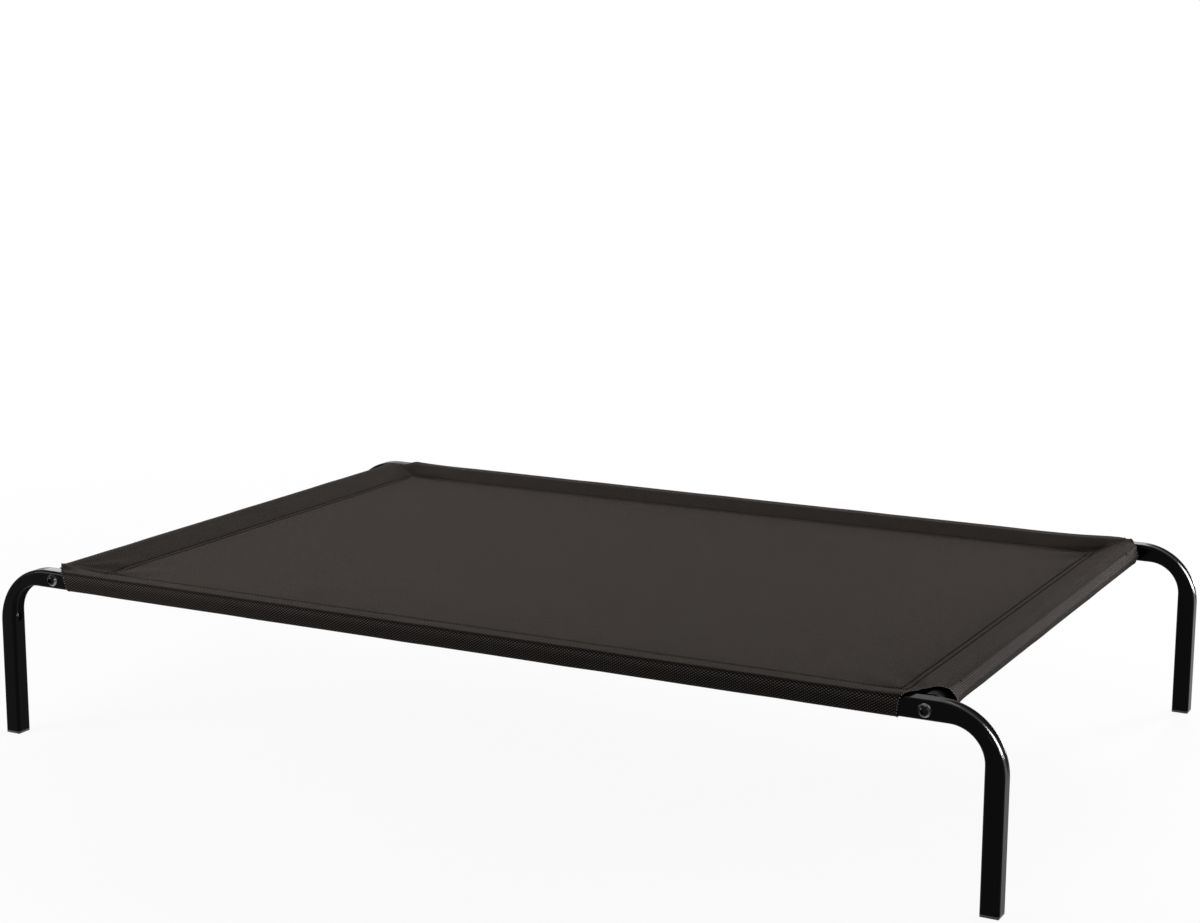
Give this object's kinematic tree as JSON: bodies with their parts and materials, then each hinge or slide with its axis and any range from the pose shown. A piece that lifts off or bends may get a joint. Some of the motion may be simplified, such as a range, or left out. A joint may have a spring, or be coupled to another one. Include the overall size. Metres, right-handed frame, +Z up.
{
  "type": "raised pet cot",
  "caption": "Low raised bed: a dark fabric panel stretched by sleeves over a bolted frame of square and round steel tube, on bent tube legs with foot plugs.",
  "frame": {"origin": "on the floor under the middle of the bed", "axes": "+X along the bed's length, +Z up, the front long side at -Y"},
  "size_m": [1.2, 0.756, 0.2038],
  "materials": {
    "frame_paint": "gloss black powder coat",
    "bare_steel": "plain zinc-plated steel, hidden inside the tubes",
    "bolt_metal": "black-oxide steel, bright at the rims",
    "foot_plastic": "satin moulded plastic",
    "bed_fabric": "warm black coated mesh weave"
  },
  "bodies": {
    "root": {"leg_front_left": "frame_paint", "leg_front_right": "frame_paint", "leg_rear_left": "frame_paint", "leg_rear_right": "frame_paint", "joiner_front_left": "bare_steel", "joiner_front_right": "bare_steel", "joiner_rear_left": "bare_steel", "joiner_rear_right": "bare_steel", "foot_front_left": "foot_plastic", "foot_front_right": "foot_plastic", "foot_rear_left": "foot_plastic", "foot_rear_right": "foot_plastic", "side_rail_front": "frame_paint", "side_rail_rear": "frame_paint", "cross_rail_left": "frame_paint", "cross_rail_right": "frame_paint", "threaded_inserts": "bare_steel", "corner_bolts": "bolt_metal", "sleeping_panel": "bed_fabric", "front_sleeve": "bed_fabric", "rear_sleeve": "bed_fabric", "left_sleeve": "bed_fabric", "right_sleeve": "bed_fabric"}
  },
  "joints": []
}
